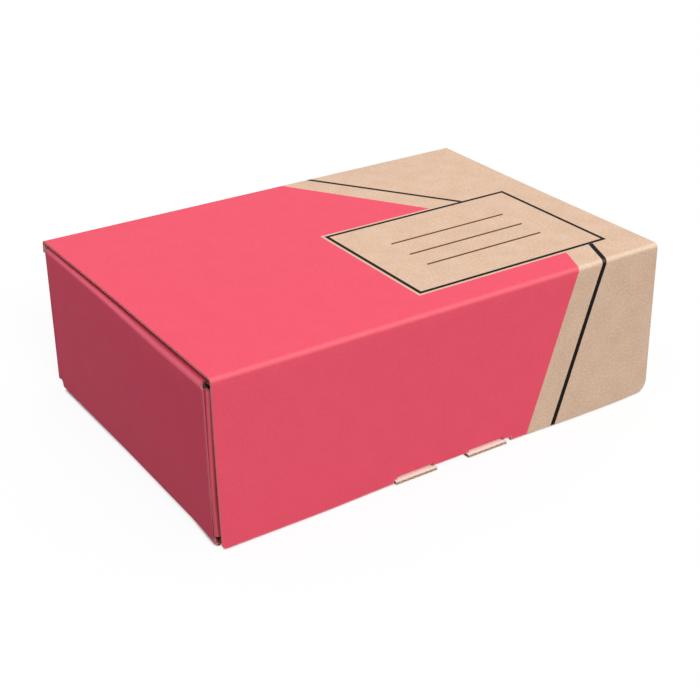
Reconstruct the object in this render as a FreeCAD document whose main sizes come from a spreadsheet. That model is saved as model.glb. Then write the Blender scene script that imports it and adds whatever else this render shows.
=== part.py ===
"""A one-piece shipping box folded from E-flute corrugated board, in millimetres.

+X runs along the long front to the right, +Y towards the back and +Z up. The origin is on the
floor, in the middle of the footprint. One blank makes the base, the front and back walls, the
lid and side walls that roll over and stand on the base, with the dust flaps of the front and
back walls inside them. The lid's front flap hangs outside the front wall and locks with two
tabs, which go in over two tongues that stay in the plane of the base.
"""

import FreeCAD
import Part
import os
import Sketcher
from FreeCAD import Rotation, Vector

doc = FreeCAD.newDocument("shipping_box")

# ---- driving dimensions ----------------------------------------------------------------------

SIZES = [
    ("inside_length", 249, "clear length between the inner side walls"),
    ("inside_width", 176, "clear width between the front and back walls"),
    ("inside_height", 81, "clear height from the base to the lid"),
    ("board", 1.5, "thickness of the corrugated board"),
    ("crease_radius", 1, "inside radius of a fold"),
    ("tight_radius", 0.5, "inside radius of the fold where a dust flap turns"),
    ("ply_gap", 0.2, "between the layers of a rolled side wall"),
    ("roll_drop", 2, "from the lid down to the top of the rolled side"),
    ("side_setback", 4, "from the back wall's face to the rear end of the outer side wall"),
    ("corner_clearance", 1, "from the front wall to the front end of the inner side wall"),
    ("dust_length", 62, "length of a dust flap from its fold"),
    ("dust_taper", 10, "how much an edge of a dust flap closes in at its free end"),
    ("dust_foot", 4, "from the floor to the lower edge of a dust flap"),
    ("dust_clearance", 0.75, "from the middle of the roll down to the edge of the dust flaps"),
    ("foot_pitch", 90, "between the middles of the two feet of an inner side wall"),
    ("foot_length", 28, "length of one foot"),
    ("foot_reach", 1.2, "how far a foot goes down into the base"),
    ("foot_clearance", 0.3, "round a foot in its slot"),
    ("lid_inset", 1.6, "from the outer side wall's face to the edge of the lid"),
    ("flap_gap", 0.3, "between the front flap and the front wall"),
    ("flap_foot", 0.3, "from the floor to the front flap's lower edge"),
    ("flap_corner", 2, "radius of the front flap's lower left corner"),
    ("soft_corner", 7, "radius of the front flap's lower right corner, which is worn"),
    ("mitre_gap", 0.2, "between the mitred edges of the lid and the front flap"),
    ("lock_pitch", 43, "between the middles of the two locks"),
    ("lock_offset", -1.5, "from the middle of the box to the middle of the two locks"),
    ("tongue_width", 24, "width of a lock tongue"),
    ("tongue_reach", 2.5, "how far a tongue stands out past the front flap"),
    ("slot_relief", 2.5, "how far a lock slot goes past its tongue on each side"),
    ("recess_height", 0.6, "from a tongue's upper face to the recessed edge of the front flap"),
    ("recess_left", 0.6, "how far the recess goes past the left tongue"),
    ("recess_right", 3.4, "how far the recess goes past the right tongue"),
    ("tab_play", 1.5, "how much narrower a tab is than its tongue, on each side"),
    ("tab_relief", 0.6, "width of the cut in the front flap beside a tab"),
    ("tab_length", 8, "flat length of a tab behind its fold"),
    ("tab_rise", 8, "slope of a tab up from level, in degrees"),
]

sizes = doc.addObject("Spreadsheet::Sheet", "sizes")
for row, (alias, number, meaning) in enumerate(SIZES, start=1):
    sizes.set(f"A{row}", meaning)
    sizes.set(f"B{row}", str(number))
    sizes.setAlias(f"B{row}", alias)
doc.recompute()

# ---- places worked out from them, as expressions ---------------------------------------------

BOARD = "sizes.board"
FOLD = "(sizes.board + sizes.crease_radius)"
TIGHT_FOLD = "(sizes.board + sizes.tight_radius)"
LAYER = "(sizes.board + sizes.ply_gap)"
ROLL = f"({LAYER} + sizes.board / 2)"

# across the box, from its middle
OUTER_SIDE = f"(sizes.inside_length / 2 + 2 * {ROLL})"
DUST_SIDE = f"({OUTER_SIDE} - {LAYER})"
INNER_SIDE = f"({DUST_SIDE} - {LAYER})"
DUST_FOLD = f"({DUST_SIDE} - {TIGHT_FOLD})"
LID_SIDE = f"({OUTER_SIDE} - sizes.lid_inset)"

# from front to back
DEPTH = "(sizes.inside_width + 3 * sizes.board + sizes.flap_gap)"
FACE = f"((sizes.tongue_reach - {DEPTH}) / 2)"
WALL = f"({FACE} + sizes.board + sizes.flap_gap)"
INSIDE_FRONT = f"({WALL} + sizes.board)"
INSIDE_BACK = f"({INSIDE_FRONT} + sizes.inside_width)"
BACK = f"({FACE} + {DEPTH})"
SIDE_BACK = f"({BACK} - sizes.side_setback)"
INNER_FRONT = f"({INSIDE_FRONT} + sizes.corner_clearance)"
INNER_MIDDLE = f"(({INNER_FRONT} + {SIDE_BACK}) / 2)"

# up from the floor
UNDER_LID = "(sizes.board + sizes.inside_height)"
TOP = f"({UNDER_LID} + sizes.board)"
ROLL_CENTRE = f"({UNDER_LID} - sizes.roll_drop - {ROLL})"
DUST_TOP = f"({ROLL_CENTRE} - sizes.dust_clearance)"
RECESS = "(sizes.board + sizes.recess_height)"
# a tongue comes out of the front wall, so its slot there is as high as the tongue is long
TONGUE_LENGTH = f"({WALL} + {FOLD} - {FACE} + sizes.tongue_reach)"
FOLD_LENGTH = "(pi / 2 * (sizes.crease_radius + sizes.board / 2))"
SLOT_TOP = f"({FOLD} + {TONGUE_LENGTH} - {FOLD_LENGTH})"

LOCKS = {
    "left": "(sizes.lock_offset - sizes.lock_pitch / 2)",
    "right": "(sizes.lock_offset + sizes.lock_pitch / 2)",
}
FEET = {
    "front": f"({INNER_MIDDLE} - sizes.foot_pitch / 2)",
    "rear": f"({INNER_MIDDLE} + sizes.foot_pitch / 2)",
}
RIGHT = Vector(1, 0, 0)
BACKWARDS = Vector(0, 1, 0)
UP = Vector(0, 0, 1)


def either_side(middle, half):
    """The low and the high place of something with its middle there."""
    return f"({middle} - {half})", f"({middle} + {half})"


# ---- helpers for the folded sheet ------------------------------------------------------------


def bind(thing, place=(), **expressions):
    """Binds properties to expressions; place binds the base of the placement."""
    for letter, expression in zip("xyz", place):
        thing.setExpression(f"Placement.Base.{letter}", expression)
    for name, expression in expressions.items():
        thing.setExpression(name, expression)
    return thing


def panel(name, x, y, z):
    """A flat panel, or the block that cuts a slot: x, y and z are each a low and a high place."""
    length, width, height = (f"{high} - {low}" for low, high in (x, y, z))
    box = doc.addObject("Part::Box", name)
    return bind(box, (x[0], y[0], z[0]), Length=length, Width=width, Height=height)


def tapered_panel(name, x, y, z_low, z_high):
    """A panel that reaches over z_low at its low y, and over z_high at its high y."""
    wedge = doc.addObject("Part::Wedge", name)
    bind(wedge, Xmin=x[0], Xmax=x[1], X2min=x[0], X2max=x[1], Ymin=y[0], Ymax=y[1])
    return bind(wedge, Zmin=z_low[0], Zmax=z_low[1], Z2min=z_high[0], Z2max=z_high[1])


def bend(name, along, first, centre, length, inner, sweep="90"):
    """A fold of the board: part of a ring about the line that starts at centre and runs along.

    first is the direction, seen from that line, in which the ring begins.
    """
    rings = []
    for suffix, radius in (("outside", f"{inner} + {BOARD}"), ("inside", inner)):
        ring = doc.addObject("Part::Cylinder", f"{name}_{suffix}")
        ring.Placement.Rotation = Rotation(first, along.cross(first), along, "ZXY")
        rings.append(bind(ring, centre, Radius=radius, Height=length, Angle=sweep))
    cut = doc.addObject("Part::Cut", name)
    cut.Base, cut.Tool = rings
    return cut


def joined(name, pieces):
    """Several solids as one."""
    fuse = doc.addObject("Part::MultiFuse", name)
    fuse.Shapes = pieces
    fuse.Refine = True
    return fuse


def mirrored(name, source):
    """The same thing on the right side of the box."""
    mirror = doc.addObject("Part::Mirroring", name)
    mirror.Source = source
    mirror.Normal = RIGHT
    return mirror


# ---- the strip of front wall, base, back wall and lid ----------------------------------------

base_x = either_side("0", f"({OUTER_SIDE} - {FOLD})")
wall_x = either_side("0", DUST_FOLD)
lid_x = either_side("0", LID_SIDE)
mitre_end = f"({FACE} + {BOARD})"
strip = [
    panel("base", base_x, (f"({WALL} + {FOLD})", f"({BACK} - {FOLD})"), ("0", BOARD)),
    panel("front_wall", wall_x, (WALL, INSIDE_FRONT), (FOLD, DUST_TOP)),
    panel("back_wall", wall_x, (INSIDE_BACK, BACK), (FOLD, DUST_TOP)),
    panel("back_wall_head", lid_x, (INSIDE_BACK, BACK), (DUST_TOP, f"({TOP} - {FOLD})")),
    panel("lid", lid_x, (mitre_end, f"({BACK} - {FOLD})"), (UNDER_LID, TOP)),
]
# a wedge narrows only towards its high y, so this one is made the other way round
lid_mitre = tapered_panel("lid_mitre", lid_x, (f"-{mitre_end}", f"-{FACE}"), (UNDER_LID, TOP), (TOP, TOP))
lid_mitre.Placement.Rotation = Rotation(UP, 180)
strip.append(lid_mitre)
for name, half, first, y, z in (
    ("front_crease", DUST_FOLD, -BACKWARDS, f"({WALL} + {FOLD})", FOLD),
    ("back_crease", DUST_FOLD, -UP, f"({BACK} - {FOLD})", FOLD),
    ("lid_crease", LID_SIDE, BACKWARDS, f"({BACK} - {FOLD})", f"({TOP} - {FOLD})"),
):
    strip.append(bend(name, RIGHT, first, (f"-{half}", y, z), f"2 * {half}", "sizes.crease_radius"))

# ---- slots in the front crease for the locks, and the tongues that they leave -----------------

slots = []
tongues = []
for side, middle in LOCKS.items():
    slot_x = either_side(middle, "(sizes.tongue_width / 2 + sizes.slot_relief)")
    tongue_x = either_side(middle, "sizes.tongue_width / 2")
    crease_y = f"({WALL} + {FOLD})"
    slots.append(panel(f"{side}_lock_slot", slot_x, (FACE, crease_y), (f"-{BOARD}", SLOT_TOP)))
    tongue_y = (f"({FACE} - sizes.tongue_reach)", crease_y)
    tongues.append(panel(f"{side}_tongue", tongue_x, tongue_y, ("0", BOARD)))

# ---- the left side: a wall that rolls over and stands with two feet in the base ---------------


def foot_block(name, middle, clearance, z):
    """A foot of the left inner wall, or the block that cuts its slot, with clearance round it."""
    x = (f"(-{INNER_SIDE} - {clearance})", f"(-{INNER_SIDE} + {BOARD} + {clearance})")
    return panel(name, x, either_side(middle, f"(sizes.foot_length / 2 + {clearance})"), z)


side_y = (WALL, SIDE_BACK)
side_length = f"{SIDE_BACK} - {WALL}"
side_crease = (f"(-{OUTER_SIDE} + {FOLD})", WALL, FOLD)
roll_centre = (f"(-{OUTER_SIDE} + {ROLL})", WALL, ROLL_CENTRE)
outer_x = (f"-{OUTER_SIDE}", f"(-{OUTER_SIDE} + {BOARD})")
inner_x = (f"-{INNER_SIDE}", f"(-{INNER_SIDE} + {BOARD})")
left = [
    bend("side_crease", BACKWARDS, -UP, side_crease, side_length, "sizes.crease_radius"),
    panel("outer_wall", outer_x, side_y, (FOLD, ROLL_CENTRE)),
    bend("roll", BACKWARDS, -RIGHT, roll_centre, side_length, f"({ROLL} - {BOARD})", "180"),
    panel("inner_wall", inner_x, (INNER_FRONT, SIDE_BACK), (LAYER, ROLL_CENTRE)),
]
for end, middle in FEET.items():
    left.append(foot_block(f"{end}_foot", middle, "0", (f"({BOARD} - sizes.foot_reach)", LAYER)))
    slot = foot_block(f"left_{end}_foot_slot", middle, "sizes.foot_clearance", (f"-{BOARD}", LAYER))
    slots += [slot, mirrored(f"right_{end}_foot_slot", slot)]

# ---- the dust flaps, which turn back from the front and back walls into the rolled sides ------

dust_x = (f"-{DUST_SIDE}", f"(-{DUST_SIDE} + {BOARD})")
full = ("sizes.dust_foot", DUST_TOP)
narrow = ("(sizes.dust_foot + sizes.dust_taper)", f"({DUST_TOP} - sizes.dust_taper)")
fold_height = f"{DUST_TOP} - sizes.dust_foot"
front_fold = f"({WALL} + {TIGHT_FOLD})"
rear_fold = f"({BACK} - {TIGHT_FOLD})"
for end, first, fold_y, y, z_low, z_high in (
    ("front", -RIGHT, front_fold, (front_fold, f"({front_fold} + sizes.dust_length)"), full, narrow),
    ("rear", BACKWARDS, rear_fold, (f"({rear_fold} - sizes.dust_length)", rear_fold), narrow, full),
):
    centre = (f"-{DUST_FOLD}", fold_y, "sizes.dust_foot")
    left.append(bend(f"{end}_dust_fold", UP, first, centre, fold_height, "sizes.tight_radius"))
    left.append(tapered_panel(f"{end}_dust_flap", dust_x, y, z_low, z_high))

# ---- the carton: the whole blank but for its front flap ---------------------------------------

left_side = joined("left_side", left)
right_side = mirrored("right_side", left_side)
slotted = doc.addObject("Part::Cut", "slotted_strip")
slotted.Base = joined("strip", strip)
slotted.Tool = joined("slots", slots)
carton = joined("folded_carton", [slotted, left_side, right_side] + tongues)

# ---- the front flap ---------------------------------------------------------------------------

FLAP_TOP = f"({TOP} - sqrt(2) * sizes.mitre_gap)"
TAB_FOLD = f"({RECESS} + {FOLD})"
HALF_TAB = "(sizes.tongue_width / 2 - sizes.tab_play)"

sheet = doc.addObject("PartDesign::Body", "flap_sheet")
doc.recompute()


def number_of(expression):
    """What an expression comes to now."""
    return float(sizes.evalExpression(expression))


def sketch_on(name, role, offset):
    """An empty sketch on one of the flap's origin planes, moved along its normal."""
    sketch = sheet.newObject("Sketcher::SketchObject", name)
    plane = next(feature for feature in sheet.Origin.OriginFeatures if feature.Role == role)
    sketch.AttachmentSupport = (plane, "")
    sketch.MapMode = "FlatFace"
    sketch.setExpression("AttachmentOffset.Base.z", offset)
    return sketch


def hold(sketch, kind, *where, at):
    """Adds a dimension to a sketch and binds it to the expression at."""
    index = sketch.addConstraint(Sketcher.Constraint(kind, *where, number_of(at)))
    sketch.setExpression(f"Constraints[{index}]", at)


def draw_outline(sketch, corners):
    """A closed outline of straight lines, with each corner held to the origin."""
    places = [Vector(number_of(across), number_of(up), 0) for across, up in corners]
    for start, end in zip(places, places[1:] + places[:1]):
        sketch.addGeometry(Part.LineSegment(start, end))
    for line, (across, up) in enumerate(corners):
        before = (line - 1) % len(corners)
        sketch.addConstraint(Sketcher.Constraint("Coincident", before, 2, line, 1))
        hold(sketch, "DistanceX", -1, 1, line, 1, at=across)
        hold(sketch, "DistanceY", -1, 1, line, 1, at=up)


# the panel, with a recess over the tongues and a notch above each tab
corners = [
    (f"-{LID_SIDE}", "sizes.flap_foot"),
    (f"({LOCKS['left']} - sizes.tongue_width / 2 - sizes.recess_left)", "sizes.flap_foot"),
    (f"({LOCKS['left']} - sizes.tongue_width / 2 - sizes.recess_left)", RECESS),
]
for middle in LOCKS.values():
    notch_left, notch_right = either_side(middle, f"({HALF_TAB} + sizes.tab_relief)")
    corners += [(notch_left, RECESS), (notch_left, TAB_FOLD)]
    corners += [(notch_right, TAB_FOLD), (notch_right, RECESS)]
corners += [
    (f"({LOCKS['right']} + sizes.tongue_width / 2 + sizes.recess_right)", RECESS),
    (f"({LOCKS['right']} + sizes.tongue_width / 2 + sizes.recess_right)", "sizes.flap_foot"),
    (LID_SIDE, "sizes.flap_foot"),
    (LID_SIDE, FLAP_TOP),
    (f"-{LID_SIDE}", FLAP_TOP),
]
outline = sketch_on("outline", "XZ_Plane", f"-{FACE}")
draw_outline(outline, corners)
panel_pad = sheet.newObject("PartDesign::Pad", "flap_panel")
panel_pad.Profile = outline
panel_pad.Reversed = True
panel_pad.setExpression("Length", BOARD)
doc.recompute()

# the lower corners are rounded
for name, x, radius in (
    ("left_corner", f"-{LID_SIDE}", "sizes.flap_corner"),
    ("right_corner", LID_SIDE, "sizes.soft_corner"),
):
    corner = Vector(number_of(x), 0, number_of("sizes.flap_foot"))
    edges = [
        f"Edge{count}"
        for count, edge in enumerate(sheet.Tip.Shape.Edges, start=1)
        if all(Vector(end.X, 0, end.Z).isEqual(corner, 0.001) for end in edge.Vertexes)
    ]
    square = sheet.Tip
    rounding = sheet.newObject("PartDesign::Fillet", name)
    rounding.Base = (square, edges)
    rounding.setExpression("Radius", radius)
    doc.recompute()

# the upper edge is mitred to meet the lid's
mitre = sketch_on("mitre", "YZ_Plane", "0")
draw_outline(
    mitre,
    [(FACE, FLAP_TOP), (mitre_end, f"({FLAP_TOP} - {BOARD})"), (mitre_end, FLAP_TOP)],
)
uncut = sheet.Tip
mitre_cut = sheet.newObject("PartDesign::Pocket", "mitre_cut")
mitre_cut.Profile = mitre
mitre_cut.Type = "ThroughAll"
mitre_cut.Midplane = True
doc.recompute()
if mitre_cut.Shape.Volume >= uncut.Shape.Volume:
    raise RuntimeError("the mitre cuts nothing off the front flap")

# each tab folds back under the sheet and slopes up, so that it clears its tongue as it swings
pieces = [sheet]
slope = "sizes.tab_rise"
tab_y = f"({FACE} + {FOLD} + {FOLD} * sin({slope}))"
tab_z = f"({TAB_FOLD} - {FOLD} * cos({slope}))"
for side, middle in LOCKS.items():
    start = f"({middle} - {HALF_TAB})"
    centre = (start, f"({FACE} + {FOLD})", TAB_FOLD)
    width = f"2 * {HALF_TAB}"
    sweep = f"90 + {slope}"
    radius = "sizes.crease_radius"
    pieces.append(bend(f"{side}_tab_fold", RIGHT, -BACKWARDS, centre, width, radius, sweep))
    tab = doc.addObject("Part::Box", f"{side}_tab")
    tab.Placement.Rotation = Rotation(RIGHT, 1)
    bind(tab, (start, tab_y, tab_z), Length=width, Width="sizes.tab_length", Height=BOARD)
    pieces.append(bind(tab, **{"Placement.Rotation.Angle": slope}))
flap = joined("front_flap", pieces)

# ---- checks and export ------------------------------------------------------------------------

doc.recompute()
for thing in doc.Objects:
    if "Invalid" in thing.State or "Error" in thing.State:
        raise RuntimeError(f"{thing.Name} did not compute: {thing.State}")

os.makedirs("parts", exist_ok=True)
for node in (carton, flap):
    if node.Shape.isNull() or not node.Shape.isValid():
        raise RuntimeError(f"{node.Name} has no valid shape")
    node.Label = node.Name
    node.Shape.exportStep(f"parts/{node.Name}.step")
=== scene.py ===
import math

import bpy
import numpy as np
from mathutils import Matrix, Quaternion, Vector


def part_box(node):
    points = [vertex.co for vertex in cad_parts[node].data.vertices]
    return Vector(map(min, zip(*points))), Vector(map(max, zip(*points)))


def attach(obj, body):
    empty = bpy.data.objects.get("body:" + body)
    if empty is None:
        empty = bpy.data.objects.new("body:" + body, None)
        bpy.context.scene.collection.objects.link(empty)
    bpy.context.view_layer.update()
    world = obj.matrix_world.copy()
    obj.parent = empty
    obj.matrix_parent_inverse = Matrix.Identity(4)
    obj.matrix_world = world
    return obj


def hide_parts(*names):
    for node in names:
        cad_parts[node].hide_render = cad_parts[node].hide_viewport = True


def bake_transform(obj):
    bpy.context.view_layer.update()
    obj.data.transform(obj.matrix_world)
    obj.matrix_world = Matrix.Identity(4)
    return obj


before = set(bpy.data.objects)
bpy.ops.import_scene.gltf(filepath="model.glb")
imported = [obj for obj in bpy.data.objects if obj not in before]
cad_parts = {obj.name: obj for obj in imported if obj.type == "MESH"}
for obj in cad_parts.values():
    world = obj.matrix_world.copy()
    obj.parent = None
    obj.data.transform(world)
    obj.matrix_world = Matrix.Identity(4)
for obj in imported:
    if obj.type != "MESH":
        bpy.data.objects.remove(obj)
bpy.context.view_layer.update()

# ---- the base, with the front wall and the two lock tongues -----------------------------------
# The whole box is one sheet of E-flute board: a waved paper glued between two flat kraft liners.
# It is die-cut and creased flat, then folded, with no glue or tape. This is the panel that the
# goods stand on, the front wall that turns up from it, and the tongues cut out of that wall.

MILLIMETRE = 0.001  # sizes are in millimetres wherever nothing else is said
BOARD = 1.5  # the three papers together
LINER = 0.28  # each of the two flat ones
WAVED_PAPER = 0.22
FLUTE_PITCH = 3.3  # from one wave to the next
CREASE = 1.0  # the inside radius of a creased fold
FOLD = BOARD + CREASE
FLAP_GAP = 0.3  # between the front wall and the flap that hangs outside it
SCUFF = 0.9  # how far in from a cut edge the paper is rubbed
HAIR = 0.01  # nearer to an edge than this is on the edge
TOUCHING = 0.001  # and nearer than this is the same place
FLAT_STEP, FOLD_STEP = 30.0, 0.35  # the most between mesh lines, on the flat and in a fold
WAVE_STEPS = 8  # mesh lines in each wave
CLOSEST = 0.02  # the least between two mesh lines
CUT_ANGLE = math.radians(35)  # the mesh is smooth in its folds and sharp at its cut edges

# x runs to the right, y to the back and z up, with the floor at 0
low, high = (Vector(corner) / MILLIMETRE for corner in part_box("folded_carton"))
flap_low, flap_high = (Vector(corner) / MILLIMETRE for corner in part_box("front_flap"))
outer_side, back, top = high
lid_side = flap_high.x
face = flap_low.y  # the printed face of the front flap
wall = face + BOARD + FLAP_GAP  # the outer face of the front wall
front_crease = wall + FOLD
tongue_tip = low.y


class Strip:
    """A strip of board as it is folded, in the plane that its folds are square to.

    steps are the lengths of its flat stretches, and its folds as (degrees, inside radius), in
    order. The printed face is on the left of the way that it runs, and every fold turns right.
    """

    def __init__(self, start, heading, steps):
        self.stretches = []
        point, turn, run = np.array(start, float), math.radians(heading), 0.0
        for step in steps:
            first = run
            if isinstance(step, tuple):
                sweep, radius = math.radians(step[0]), step[1] + BOARD
                run += sweep * (radius - BOARD / 2)
                centre = point - radius * self.outwards(turn)
                self.stretches.append((first, run, centre, turn, radius))
                turn -= sweep
                point = centre + radius * self.outwards(turn)
            else:
                run += step
                self.stretches.append((first, run, point, turn, None))
                point = point + step * np.array((math.cos(turn), math.sin(turn)))
        self.marks = [stretch[0] for stretch in self.stretches] + [run]

    @staticmethod
    def outwards(turn):
        return np.stack((-np.sin(turn), np.cos(turn)))

    def at(self, run, depth):
        """The place that is this far along the strip, and this deep below its printed face."""
        spots = np.zeros((2, *run.shape))
        for first, last, origin, turn, radius in self.stretches:
            here = (run >= first - TOUCHING) & (run <= last + TOUCHING)
            gone, deep = run[here] - first, depth[here]
            if radius is None:
                along = np.array((math.cos(turn), math.sin(turn)))
                sunk = np.outer(deep, self.outwards(turn))
                spots[:, here] = (origin + np.outer(gone, along) - sunk).T
            else:
                turns = turn - gone / (radius - BOARD / 2)
                spots[:, here] = origin[:, None] + self.outwards(turns) * (radius - deep)
        return spots

    def crest(self, run):
        """1 on the ridge of a crease, 0 where the board is flat. A rolled side has two creases."""
        ridge = np.zeros(run.shape)
        for first, last, _, _, radius in self.stretches:
            if radius:
                creases = max(1, round((last - first) / (radius - BOARD / 2) / (math.pi / 2)))
                turns = np.clip((run - first) / (last - first), 0, 1) * creases * np.pi
                ridge = np.maximum(ridge, np.sin(turns) ** 2)
        return ridge

    def lines(self, first, last, cuts=()):
        """Where a mesh needs lines across the strip: at each cut, and close together in a fold."""
        wanted = [first, last]
        for start, end, _, _, radius in self.stretches:
            start, end = max(start, first), min(end, last)
            if end > start:
                wanted += spaced(start, end, FOLD_STEP if radius else FLAT_STEP)
        return with_cuts(wanted, first, last, cuts)


def spaced(start, end, step):
    """Places from start to end, at most a step apart."""
    steps = max(1, math.ceil((end - start) / step - TOUCHING))
    return list(np.linspace(start, end, steps + 1))


def with_cuts(wanted, first, last, cuts=()):
    """The wanted lines and the cuts in order, with lines beside each cut for its rubbed edge."""
    for cut in (first, last, *cuts):
        wanted = [*wanted, cut - SCUFF, cut, cut + SCUFF]
    wanted = sorted(line for line in wanted if first - TOUCHING <= line <= last + TOUCHING)
    before = [-math.inf, *wanted]
    return np.array([line for line, other in zip(wanted, before) if line - other > CLOSEST])


def layer(name, runs, acrosses, kept, place, outer, inner, marks, joined, paper):
    """One paper of the board, as a closed mesh on a grid of lines.

    kept tells which cells of the grid are board, place puts a point of it in space, outer and
    inner give the depths of its two faces, and marks gives where a point lies on the flat blank.
    joined tells where the next panel goes on, so that the rim isn't a cut edge. paper is its
    material.
    """
    run, across = np.meshgrid(runs, acrosses, indexing="ij")
    filled = kept((run[1:, 1:] + run[:-1, :-1]) / 2, (across[1:, 1:] + across[:-1, :-1]) / 2)
    count, columns = run.size, len(acrosses)
    top_faces, rims = [], []
    for i, j in zip(*np.nonzero(filled)):
        a = i * columns + j
        corners = (a, a + 1, a + 1 + columns, a + columns)
        top_faces.append(corners)
        for number, (row, column) in enumerate(((i - 1, j), (i, j + 1), (i + 1, j), (i, j - 1))):
            p, q = corners[number], corners[(number + 1) % 4]
            inside = 0 <= row < filled.shape[0] and 0 <= column < filled.shape[1]
            if not (inside and filled[row, column]):
                rims.append((q, p, p + count, q + count))
    under_faces = [tuple(corner + count for corner in reversed(corners)) for corners in top_faces]
    faces = np.array(top_faces + under_faces + rims)
    used, faces = np.unique(faces, return_inverse=True)
    faces = faces.reshape(-1, 4)
    spots = [place(run, across, depth(run, across)).reshape(3, -1).T for depth in (outer, inner)]
    mesh = bpy.data.meshes.new(name)
    mesh.from_pydata((np.concatenate(spots)[used] * MILLIMETRE).tolist(), [], faces.tolist())
    edge = np.zeros(2 * count)
    edge[np.array(rims).ravel()] = 1
    edge[np.tile(joined(run, across).ravel(), 2)] = 0
    blank = np.stack([part.ravel() for part in marks(run, across)], -1)
    blank = np.concatenate([blank, blank])
    attribute = mesh.attributes.new("blank", "FLOAT_VECTOR", "POINT")
    attribute.data.foreach_set("vector", blank[used].astype(np.float32).ravel())
    attribute = mesh.attributes.new("edge", "FLOAT", "POINT")
    attribute.data.foreach_set("value", edge[used].astype(np.float32))
    mesh.materials.append(paper)
    mesh.shade_smooth()
    mesh.set_sharp_from_angle(angle=CUT_ANGLE)
    thing = bpy.data.objects.new(name, mesh)
    bpy.context.scene.collection.objects.link(thing)
    return thing


def uncrushed(run, across):
    return 0 * run


def board(
    name,
    body,
    strip,
    lines,
    kept,
    place,
    flutes_across,
    joined,
    papers,
    zero=0.0,
    crushed=uncrushed,
):
    """The three papers of a panel: printed liner, waved paper and inside liner.

    body is empty for a panel that two bodies move. lines are those along the strip and those
    across it. flutes_across tells that the flutes lie across the strip, so that the wave is seen
    in its sides. papers are the materials of the printed face, the waved paper and the inside
    face. zero is where the print is measured from. crushed tells where the die has pressed the
    wave together, from 0 to 1, so that it is closed.
    """
    runs, acrosses = lines
    printed, waved, inside = papers

    def marks(run, across):
        flat = (run - zero, across) if flutes_across else (across, run - zero)
        return (*flat, strip.crest(run))

    def level(depth):
        return lambda run, across: 0 * run + depth

    def wave(side):
        def depth(run, across):
            height = BOARD / 2 - LINER - WAVED_PAPER / 2
            wave = height * np.sin(2 * np.pi / FLUTE_PITCH * (run if flutes_across else across))
            closed = crushed(run, across)
            return BOARD / 2 + wave * (1 - closed) + side * (WAVED_PAPER / 2 + height * closed)

        return depth

    def fine(places):
        finer = np.union1d(spaced(places.min(), places.max(), FLUTE_PITCH / WAVE_STEPS), places)
        finer = finer[np.append(True, np.diff(finer) > CLOSEST) | np.isin(finer, places)]
        return finer if places[0] < places[-1] else finer[::-1]

    wave_lines = (fine(runs), acrosses) if flutes_across else (runs, fine(acrosses))
    made = []
    for suffix, grid, outer, inner, paper in (
        ("printed_liner", lines, level(0), level(LINER), printed),
        ("waved_paper", wave_lines, wave(-1), wave(1), waved),
        ("inside_liner", lines, level(BOARD - LINER), level(BOARD), inside),
    ):
        full_name = f"{name}_{suffix}"
        sheet = layer(full_name, *grid, kept, place, outer, inner, marks, joined, paper)
        if body:
            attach(sheet, body)
        made.append(sheet)
    return made


def linear(colour):
    """An sRGB hex colour as linear red, green, blue and alpha."""
    parts = [int(colour[start : start + 2], 16) / 255 for start in (1, 3, 5)]
    lit = (part / 12.92 if part < 0.04045 else ((part + 0.055) / 1.055) ** 2.4 for part in parts)
    return (*lit, 1)


def add(tree, kind, inputs, **settings):
    """Adds a node with its settings, and gives each input its link or its value."""
    node = tree.nodes.new(kind)
    for setting, value in settings.items():
        setattr(node, setting, value)
    for number, value in inputs.items():
        if isinstance(value, bpy.types.NodeSocket):
            tree.links.new(value, node.inputs[number])
        else:
            node.inputs[number].default_value = value
    return node


PAPER_IOR, PAPER_SHINE = 1.5, 0.1  # an open, porous paper hardly shines
PAPER_ROUGHNESS, INK_ROUGHNESS = 0.88, 0.62  # ink fills the paper, and is smoother than it
CLOUDS, CLOUD_STRENGTH = 12.0, 0.4  # how wide the paper's faint clouds are
FLECKS = 1.2  # flecks and fibres are both drawn coarser than real ones, so that they show
FIBRE_LENGTH, FIBRE_WIDTH, FIBRE_STRENGTH = 2.4, 0.6, 0.6
LIGHTEST, DARKEST = 0.7, 1.3  # the sums of the three patterns that give the two tones
CREASE_WEAR_AND_HIGHLIGHT, INK_CREASE_WEAR_AND_HIGHLIGHT = 0.34, 0.08  # how much paler a crease is, bare and inked: partly wear, partly a painted highlight
FLUFF = 1.2  # how large the rubbed places are along a cut edge
RUBBED_FROM, RUBBED_TO, RUBBED = 0.9, 1.5, 0.8  # where they start and end, and how bare they are
RIB_HEIGHT, GRAIN_HEIGHT = 0.008, 0.05  # how far the flutes' ribs and the fibres stand up
WORN_INK = "#FF9D9D"  # pink ink where it is rubbed thin; along the lid's cut edge it is also a painted highlight


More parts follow.
